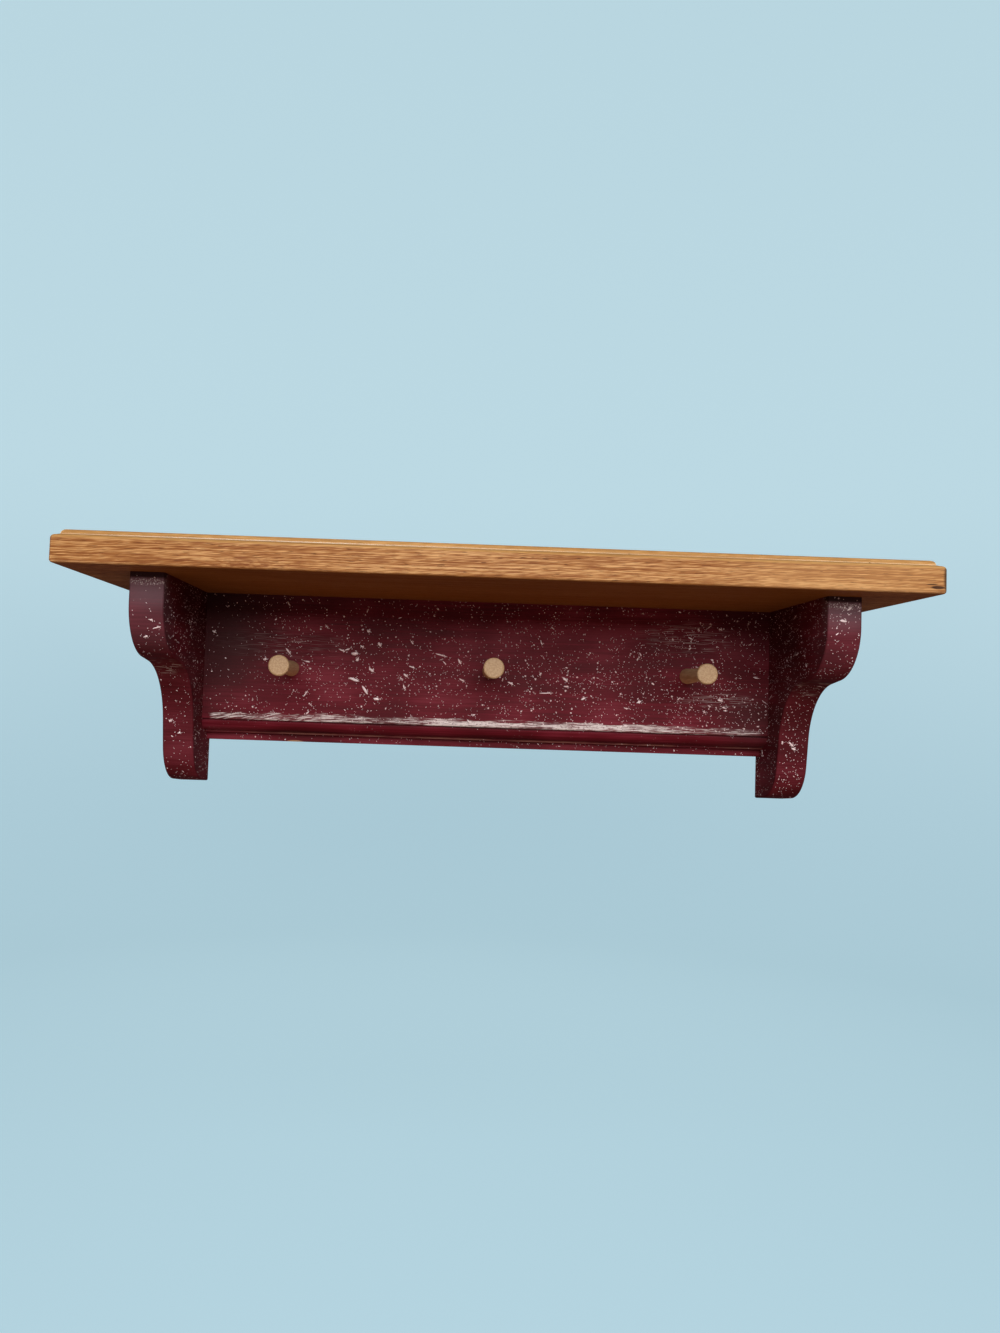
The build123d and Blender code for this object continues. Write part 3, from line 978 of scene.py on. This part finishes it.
    def domes(self, points: Node, turn: Node) -> Node:
        """Sets a dome on each point, of the point's length and width.

        Args:
            points: The drops' places.
            turn: How each drop is turned.

        Returns:
            The drops. Only the longer ones get the finer dome.
        """
        small = self.add("GeometryNodeMeshUVSphere", {"Segments": 6, "Rings": 3, "Radius": 0.5})
        large = self.add("GeometryNodeMeshUVSphere", {"Segments": 14, "Rings": 4, "Radius": 0.5})
        shapes = self.add("GeometryNodeGeometryToInstance", {0: [large, small]})
        is_large = self.add("FunctionNodeCompare", {
            0: self.length, 1: self.rounded_length}, operation="GREATER_THAN")
        size = self.add("ShaderNodeCombineXYZ", {
            "X": self.length, "Y": self.width, "Z": self.product(self.width, self.dome_share)})
        drops = self.add("GeometryNodeInstanceOnPoints", {
            "Points": points, "Instance": shapes, "Pick Instance": True, "Instance Index": is_large,
            "Rotation": turn, "Scale": size})
        return self.add("GeometryNodeRealizeInstances", {0: drops})

    def crept(self, drops: Node) -> Node:
        """Moves the drops' edges as wet paint creeps before it dries, further on wider drops.

        Args:
            drops: The regular drops.

        Returns:
            The ragged ones.
        """
        creep = self.add("ShaderNodeTexNoise", {
            "Vector": self.add("GeometryNodeInputPosition"), "Scale": 1 / self.creep_size, "Detail": 1.0})
        creep = self.add("ShaderNodeVectorMath", {
            0: creep.outputs["Color"], 1: (0.5, 0.5, 0.5)}, operation="SUBTRACT")
        creep = self.add("ShaderNodeVectorMath", {
            0: creep, "Scale": self.product(self.width, self.creep_share)}, operation="SCALE")
        return self.add("GeometryNodeSetPosition", {"Geometry": drops, "Offset": creep})


@dataclass(frozen=True)
class Mark:
    """One drop that stands out: its place, length and width in millimetres, and its lean in degrees."""

    x: float
    z: float
    length: float
    width: float
    lean: float


class Facing(Enum):
    """The faces of a painted piece that one coat of spatter lands on."""

    FRONT = (0.0, -1.0, 0.0)
    LEFT = (-1.0, 0.0, 0.0)
    RIGHT = (1.0, 0.0, 0.0)
    EDGE = (0.0, 0.0, 0.0)

    def takes(self, normal: Vector) -> bool:
        """Says whether a face with this normal gets the coat.

        Args:
            normal: The face's outward normal.

        Returns:
            True on the flat faces that point the coat's way, or for EDGE on the scrolled edge.
        """
        if self is Facing.EDGE:
            return abs(normal.x) < SIDEWAYS and normal.y < SIDEWAYS and normal.z > STRAIGHT_DOWN
        return normal.dot(Vector(self.value)) > SQUARE_ON


@dataclass(frozen=True)
class Coat:
    """One coat of spatter: where it lands, how thickly, and how much it thins out.

    Density is in drops per square millimetre, each thinning is the share that is missing there, and
    the largest radius is in millimetres.
    """

    facing: Facing
    density: float
    thin_left: float = 0.0
    thin_right: float = 0.0
    thin_top: float = 0.0
    largest: float = 0.85
    marks: tuple[Mark, ...] = ()


@dataclass(frozen=True)
class Spatter:
    """Cream wall paint that flew onto one painted piece and dried there."""

    node: str
    neighbours: tuple[str, ...]
    coats: tuple[Coat, ...]
    seed: int
    smallest: float = 0.25
    mark_width: float = 1.1
    mark_start: float = -0.17
    weld: float = 0.001

    def build(self, tree: SpatterTree, material: Material) -> Object:
        """Makes the drops of every coat, as one piece.

        Args:
            tree: The tree that makes a coat.
            material: The cream paint.

        Returns:
            The finished piece.
        """
        joined = bmesh.new()
        low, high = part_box(self.node)
        for number, coat in enumerate(self.coats):
            painted, clear = self.part_faces(coat.facing)
            joined.from_mesh(tree.grow(self.node + "_coat", self.mark_points(coat.marks), {
                "Painted Faces": painted, "Keep Clear": clear, "Drops": coat.density / MM ** 2,
                "Low Corner": tuple(low), "High Corner": tuple(high), "Thin Left": coat.thin_left,
                "Thin Right": coat.thin_right, "Thin Top": coat.thin_top, "Smallest": self.smallest * MM,
                "Largest": coat.largest * MM, "Seed": self.seed + number, "Paint": material}))
            for helper in (painted, clear):
                bpy.data.meshes.remove(helper.data)
        mesh = bpy.data.meshes.new(self.node + "_spatter")
        joined.to_mesh(mesh)
        joined.free()
        mesh.materials.append(material)
        return add_piece(self.node + "_spatter", mesh)

    def part_faces(self, facing: Facing) -> list[Object]:
        """Splits the piece into the faces to spatter and those that drops mustn't reach.

        Args:
            facing: The faces to spatter.

        Returns:
            A helper object of each. The second holds the neighbours as well.
        """
        halves = []
        for wanted in (True, False):
            mesh = bmesh.new()
            mesh.from_mesh(NODES[self.node].data)
            bmesh.ops.remove_doubles(mesh, verts=mesh.verts, dist=self.weld * MM)
            mesh.normal_update()
            gone = [face for face in mesh.faces if facing.takes(face.normal) is not wanted]
            bmesh.ops.delete(mesh, geom=gone, context="FACES")
            if not wanted:
                for neighbour in self.neighbours:
                    mesh.from_mesh(NODES[neighbour].data)
            plain = bpy.data.meshes.new("spatter_helper")
            mesh.to_mesh(plain)
            mesh.free()
            helper = bpy.data.objects.new("spatter_helper", plain)
            bpy.context.scene.collection.objects.link(helper)
            halves.append(helper)
        return halves

    def mark_points(self, marks: tuple[Mark, ...]) -> Mesh:
        """Makes loose points in front of the piece for the drops that are marked.

        Args:
            marks: The marked drops.

        Returns:
            The points, with the drops' sizes on them.
        """
        mesh = bpy.data.meshes.new(self.node + "_marks")
        mesh.from_pydata([(mark.x * MM, self.mark_start, mark.z * MM) for mark in marks], [], [])
        for name, sizes in (("length", [mark.length * MM for mark in marks]),
                            ("width", [mark.width * self.mark_width * MM for mark in marks]),
                            ("lean", [math.radians(mark.lean) for mark in marks])):
            mesh.attributes.new(name, "FLOAT", "POINT").data.foreach_set("value", sizes)
        return mesh


class ScrewTree(GeometryTree):
    """Recesses a screw blank, threads it and sets it in a row of screws.

    Its geometry input is a blank along Z, with the flat of its head at nought.
    """

    point_share: float = 0.1
    steps_per_turn: int = 20

    def __init__(self) -> None:
        """Builds the tree."""
        super().__init__("wood_screws", {
            "Blank": "Geometry", "Recess Length": "Float", "Recess Width": "Float", "Recess Depth": "Float",
            "Thread Radius": "Float", "Thread Height": "Float", "Thread Length": "Float",
            "Tip Length": "Float", "Tip": "Float", "Pitch": "Float", "First Place": "Vector",
            "Step": "Vector", "Seed": "Int", "Metal": "Material"})
        screw = self.add("GeometryNodeJoinGeometry", {0: [self.recessed(), *self.threads()]})
        places = self.add("GeometryNodeMeshLine", {
            "Count": 2, "Start Location": self.given["First Place"], "Offset": self.given["Step"]})
        # A screw stops wherever it bites, so no two crosses stand at the same angle
        spun = self.add("FunctionNodeRandomValue", {2: 0.0, 3: math.pi / 2, "Seed": self.given["Seed"]})
        spun = self.add("FunctionNodeAxisAngleToRotation", {"Axis": UPRIGHT, "Angle": spun.outputs[1]})
        driven = self.add("FunctionNodeRotateRotation", {
            "Rotation": (-math.pi / 2, 0.0, 0.0), "Rotate By": spun}, rotation_space="LOCAL")
        screws = self.add("GeometryNodeInstanceOnPoints", {
            "Points": places, "Instance": screw, "Rotation": driven})
        screws = self.add("GeometryNodeRealizeInstances", {0: screws})
        screws = self.add("GeometryNodeSetMaterial", {"Geometry": screws, "Material": self.given["Metal"]})
        self.add("NodeGroupOutput", {0: screws})

    def recessed(self) -> Source:
        """Cuts the cross recess into the blank's head.

        Returns:
            The recessed blank.
        """
        recessed = self.given["Blank"]
        deep = self.product(self.given["Recess Depth"], 2.0)
        for long_side, short_side in (("X", "Y"), ("Y", "X")):
            size = self.add("ShaderNodeCombineXYZ", {
                long_side: self.given["Recess Length"], short_side: self.given["Recess Width"], "Z": deep})
            wing = self.add("GeometryNodeMeshCube", {"Size": size})
            recessed = self.add("GeometryNodeMeshBoolean", {
                "Mesh 1": recessed, "Mesh 2": wing}, operation="DIFFERENCE")
        return recessed

    def threads(self) -> list[Node]:
        """Winds the thread of the tip and of the shank.

        Returns:
            Both threads. The tip takes a whole number of turns, so that its thread runs on into the
            straight one.
        """
        threads = []
        ridge = self.add("GeometryNodeCurvePrimitiveCircle", {
            "Resolution": 3, "Radius": self.given["Thread Height"]})
        radius, lowest = self.given["Thread Radius"], self.given["Tip"]
        for narrow, long in ((self.product(radius, self.point_share), self.given["Tip Length"]),
                             (radius, self.given["Thread Length"])):
            turns = self.add("ShaderNodeMath", {0: long, 1: self.given["Pitch"]}, operation="DIVIDE")
            helix = self.add("GeometryNodeCurveSpiral", {
                "Resolution": self.steps_per_turn, "Rotations": turns, "Start Radius": narrow,
                "End Radius": radius, "Height": long})
            thread = self.add("GeometryNodeCurveToMesh", {
                "Curve": helix, "Profile Curve": ridge, "Fill Caps": True})
            start = self.add("ShaderNodeCombineXYZ", {"Z": lowest})
            threads.append(self.add("GeometryNodeTransform", {"Geometry": thread, "Translation": start}))
            lowest = self.add("ShaderNodeMath", {0: lowest, 1: long}, operation="ADD")
        return threads


@dataclass(frozen=True)
class HangerScrews:
    """The two countersunk wood screws that hold one keyhole hanger, heads flush with the wall plane.

    Lengths are in millimetres. The recess is its length, width and depth.
    """

    side: str
    setout: float
    seed: int
    top: float = 20.0
    spacing: float = 34.0
    head_radius: float = 2.8
    head_height: float = 1.5
    rim: float = 0.15
    recess: Triple = (3.2, 0.75, 1.0)
    shank_radius: float = 1.45
    core_radius: float = 1.1
    taper: float = 0.4
    length: float = 12.0
    thread_start: float = 4.5
    thread_height: float = 0.34
    thread_gap: float = 0.3
    point_gap: float = 0.4
    pitch: float = 1.1
    tip_turns: int = 2
    sides: int = 32
    weld: float = 0.01

    def blank(self) -> Mesh:
        """Turns the screw's outline about Z, from the middle of the head's flat to the point.

        Returns:
            The blank.
        """
        outline = ((0.0, 0.0), (self.head_radius, 0.0), (self.head_radius, -self.rim),
                   (self.shank_radius, -self.head_height), (self.shank_radius, -self.thread_start),
                   (self.core_radius, -self.thread_start - self.taper),
                   (self.core_radius, -self.length + self.tip_turns * self.pitch), (0.0, -self.length))
        return turned_mesh("screw_blank", [(radius * MM, height * MM) for radius, height in outline],
                           self.sides, self.weld * MM)

    def build(self, tree: ScrewTree, metal: Material) -> Object:
        """Makes the screws in place of the CAD model's plain ones.

        Args:
            tree: The tree that finishes a blank.
            metal: The plated steel.

        Returns:
            The finished piece.
        """
        node = self.side + "_hanger_screws"
        tip = self.tip_turns * self.pitch
        long, wide, deep = self.recess
        mesh = tree.grow(self.side + "_wood_screws", self.blank(), {
            "Recess Length": long * MM, "Recess Width": wide * MM, "Recess Depth": deep * MM,
            "Thread Radius": self.core_radius * MM, "Thread Height": self.thread_height * MM,
            "Thread Length": (self.length - self.thread_start - tip - self.thread_gap) * MM,
            "Tip Length": tip * MM, "Tip": (self.point_gap - self.length) * MM, "Pitch": self.pitch * MM,
            "First Place": (self.setout * MM, 0.0, self.top * MM), "Step": (0.0, 0.0, -self.spacing * MM),
            "Seed": self.seed, "Metal": metal})
        piece = add_piece(self.side + "_wood_screws", mesh)
        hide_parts(node)
        return piece


@dataclass(frozen=True)
class ShelfBoard:
    """The oak top with its moulded front and ends."""

    finish: VarnishedOak = VarnishedOak()

    def dress(self) -> None:
        """Varnishes the board."""
        dress("shelf_board", self.finish.material())


@dataclass(frozen=True)
class PaintedPiece:
    """One painted piece, its wear and painted shade, and the coats of spatter on it."""

    node: str
    neighbours: tuple[str, ...]
    wear_and_shade: WearAndShade
    coats: tuple[Coat, ...]
    seed: int
    mark_width: float = 1.1

    def dress(self) -> None:
        """Paints the piece."""
        dress(self.node, BrushedPaint(self.wear_and_shade).material())

    def build(self, tree: SpatterTree, cream: Material) -> None:
        """Adds the spatter, by the tree that makes a coat and in the drops' own paint."""
        coated = Spatter(self.node, self.neighbours, self.coats, self.seed, mark_width=self.mark_width)
        coated.build(tree, cream)


@dataclass(frozen=True)
class BarePieces:
    """Pieces of one kind, known by how their names end, that take a finish and nothing more."""

    ending: str
    material: Material

    def dress(self) -> None:
        """Finishes every piece of the kind."""
        for node in NODES:
            if node.endswith(self.ending):
                dress(node, self.material)


@dataclass(frozen=True)
class Viewpoint:
    """Where the photograph was taken from, fitted to the shelf's own edges."""

    place: Triple = (-0.03002, -0.66184, -0.03993)
    yaw: float = math.radians(0.9408)
    pitch: float = math.radians(2.6152)
    roll: float = math.radians(1.9228)
    focal_pixels: float = 917.09
    frame_pixels: tuple[int, int] = (1000, 1333)
    axis_pixel: tuple[float, float] = (460.14, 662.68)
    sensor: float = 36.0

    def build(self) -> Object:
        """Makes the camera and gives it to the scene.

        Returns:
            The camera.
        """
        wide, high = self.frame_pixels
        data = bpy.data.cameras.new("photo_camera")
        data.sensor_width = self.sensor
        data.lens = self.focal_pixels / high * self.sensor
        data.shift_x = (wide / 2 - self.axis_pixel[0]) / high
        data.shift_y = (self.axis_pixel[1] - high / 2) / high
        data.clip_start, data.clip_end = 0.01, 50.0
        camera = bpy.data.objects.new("photo_camera", data)
        turn = (Matrix.Rotation(-self.yaw, 3, "Z") @ Matrix.Rotation(math.pi / 2 + self.pitch, 3, "X")
                @ Matrix.Rotation(self.roll, 3, "Z"))
        camera.matrix_world = Matrix.LocRotScale(Vector(self.place), turn.to_quaternion(), None)
        bpy.context.scene.collection.objects.link(camera)
        bpy.context.scene.camera = camera
        return camera


@dataclass(frozen=True)
class SoftLight:
    """One rectangular soft box, aimed at the middle of the shelf."""

    name: str
    place: Triple
    size: tuple[float, float]
    watts: float
    colour: str = "#FFFFFF"
    target: Triple = (0.0, -0.07, -0.03)

    def build(self) -> None:
        """Adds the light, unseen by the camera."""
        data = bpy.data.lights.new(self.name, "AREA")
        data.shape = "RECTANGLE"
        data.size, data.size_y = self.size
        data.energy = self.watts
        data.color = linear(self.colour)[:3]
        lamp = bpy.data.objects.new(self.name, data)
        aim = (Vector(self.target) - Vector(self.place)).to_track_quat("-Z", "Y")
        lamp.matrix_world = Matrix.LocRotScale(Vector(self.place), aim, None)
        lamp.visible_camera = False
        bpy.context.scene.collection.objects.link(lamp)


@dataclass(frozen=True)
class Studio:
    """A pale seamless room with a plain floor, and the soft lights in it."""

    floor_level: float = -0.75
    radius: float = 3.2
    cove: float = 1.0
    height: float = 3.0
    sides: int = 96
    steps: int = 12
    plaster: str = "#9FB0B8"
    colour: str = "#C5E5F0"
    low_colour: str = "#A9CDDB"
    glow: float = 0.78
    glow_top: float = 0.9
    dim: str = "#F0F4FF"
    dim_strength: float = 0.05
    lights: tuple[SoftLight, ...] = (
        SoftLight("front_soft_box", (0.1, -1.9, 0.72), (1.5, 1.1), 37.0),
        SoftLight("low_soft_box", (0.0, -2.2, -0.7), (1.6, 1.0), 2.8),
        SoftLight("floor_bounce", (0.0, -0.5, -0.72), (2.6, 2.0), 3.0, "#FFAA58"),
        SoftLight("rear_soft_box", (0.0, 2.1, 1.3), (2.4, 1.4), 16.0, "#FFF3E2"),
    )

    def build(self) -> None:
        """Makes the room, the dim surroundings and the lights."""
        for light in self.lights:
            light.build()
        world = bpy.data.worlds.new("dim_room")
        world.use_nodes = True
        Graph(world.node_tree).fill(world.node_tree.nodes["Background"], {
            "Color": linear(self.dim), "Strength": self.dim_strength})
        bpy.context.scene.world = world
        bpy.context.scene.view_settings.view_transform = "Standard"
        self.build_room()

    def build_room(self) -> None:
        """Turns one outline about the upright axis into floor, cove, wall and dome."""
        angles = [step * math.pi / (2 * self.steps) for step in range(self.steps + 1)]
        bend = [(self.radius - self.cove * (1 - math.sin(angle)),
                 self.floor_level + self.cove * (1 - math.cos(angle))) for angle in angles]
        dome = [(self.radius * math.cos(angle),
                 self.floor_level + self.height + self.radius * math.sin(angle)) for angle in angles]
        mesh = turned_mesh("studio_room", [(0.0, self.floor_level), *bend, *dome], self.sides, MM)
        mesh.flip_normals()
        mesh.shade_smooth()
        wall = Surface("pale_studio")
        height = wall.add("ShaderNodeSeparateXYZ", {0: wall.place}).outputs["Z"]
        glow = wall.toned(height, self.floor_level / MM, self.glow_top / MM, self.low_colour, self.colour)
        mesh.materials.append(wall.finish({
            "Base Color": linear(self.plaster), "Roughness": 1.0, "Specular IOR Level": 0.0,
            "Emission Color": glow, "Emission Strength": self.glow}))
        room = bpy.data.objects.new("studio_room", mesh)
        bpy.context.scene.collection.objects.link(room)
        room.visible_diffuse = room.visible_glossy = room.visible_shadow = False


# The drops that stand out: place along X and Z, length, width and lean
BOARD_MARKS = tuple(Mark(*numbers) for numbers in (
    (-93, -25, 8.3, 1.7, -17), (-130, -15, 9.6, 1.0, -27), (-77, -38, 4.5, 1.7, -5), (-93, -7, 5.1, 1.9, 3),
    (-139, -7, 5.8, 0.9, -51), (54, -20, 5.2, 1.3, -43), (41, -30, 10.1, 0.7, 3), (-20, -10, 4.7, 1.3, -60),
    (-33, -6, 9.4, 0.7, -15), (-76, 0, 3.6, 1.5, -50), (-155, -13, 2.8, 1.5, 9), (106, -34, 3.5, 1.2, 30),
    (-126, -36, 5.7, 0.7, 54), (-85, -32, 8.0, 1.5, -56), (-58, -29, 3.6, 1.0, -75), (163, -31, 4.2, 1.2, -17),
    (-91, -11, 2.9, 1.4, 63), (-57, -21, 3.7, 1.2, -38), (-84, 9, 2.8, 1.5, -15), (67, -33, 4.0, 1.2, 26),
    (-88, -2, 3.3, 0.8, -27), (16, -24, 4.7, 0.9, -25), (-53, -15, 4.8, 0.7, -20), (-102, -5, 5.4, 0.7, -21),
    (-191, 5, 2.7, 1.3, -28), (-81, -18, 4.4, 1.6, -34), (-18, -23, 4.7, 0.7, -31), (55, -25, 4.3, 0.7, -6)))
LEFT_MARKS = tuple(Mark(*numbers) for numbers in (
    (-201.1, -0.6, 5.9, 0.8, 18), (-204.1, 3.7, 3.3, 0.7, -14), (-206.1, -65.1, 2.9, 0.7, 14),
    (-210.8, -67.4, 2.1, 0.7, -32), (-212.1, -56.9, 3.1, 0.7, -6), (-208.3, -5.9, 3.2, 0.9, 14)))
RIGHT_MARKS = tuple(Mark(*numbers) for numbers in (
    (199.3, -58.4, 2.5, 1.2, -85), (205.3, -59.2, 5.1, 1.1, -44), (206.0, 17.4, 4.8, 1.5, -7),
    (207.3, -62.5, 3.5, 1.4, -13), (209.6, 24.7, 3.7, 1.1, 38), (202.5, 9.5, 2.3, 0.7, 44)))


def main() -> None:
    """Dresses the shelf, adds its spatter, and sets up the studio."""
    logging.basicConfig(level=logging.INFO, format="%(name)s %(message)s")
    tree = SpatterTree()
    cream = CreamDrops().material()
    ShelfBoard().dress()
    beside_board = ("shelf_board", "left_bracket", "right_bracket", "left_peg", "centre_peg", "right_peg")
    beside_bracket = ("shelf_board", "peg_board")
    board = PaintedPiece("peg_board", beside_board, WearAndShade.BOARD, (
        Coat(Facing.FRONT, 0.125, 0.92, 0.3, 0.5, 0.74, BOARD_MARKS),), 30, mark_width=1.2)
    left = PaintedPiece("left_bracket", beside_bracket, WearAndShade.LEFT_BRACKET, (
        Coat(Facing.EDGE, 0.06, thin_top=0.8, largest=0.6, marks=LEFT_MARKS),
        Coat(Facing.RIGHT, 0.08, largest=0.6), Coat(Facing.LEFT, 0.012)), 50)
    right = PaintedPiece("right_bracket", beside_bracket, WearAndShade.RIGHT_BRACKET, (
        Coat(Facing.EDGE, 0.12, largest=0.6, marks=RIGHT_MARKS),
        Coat(Facing.LEFT, 0.11, largest=0.6), Coat(Facing.RIGHT, 0.012)), 70)
    for piece in (board, left, right):
        piece.dress()
        piece.build(tree, cream)
    steel = ZincPlate("zinc_plated_screw", crystal=0.8).material()
    for ending, material in (("_peg", TurnedBirch().material()), ("_dowels", BareBeech().material()),
                             ("_hanger", ZincPlate("zinc_plated_hanger").material()), ("_screws", steel)):
        BarePieces(ending, material).dress()
    screws = ScrewTree()
    HangerScrews("left", -207.0, 1).build(screws, steel)
    HangerScrews("right", 207.0, 2).build(screws, steel)
    Viewpoint().build()
    Studio().build()


if __name__ == "__main__":
    main()
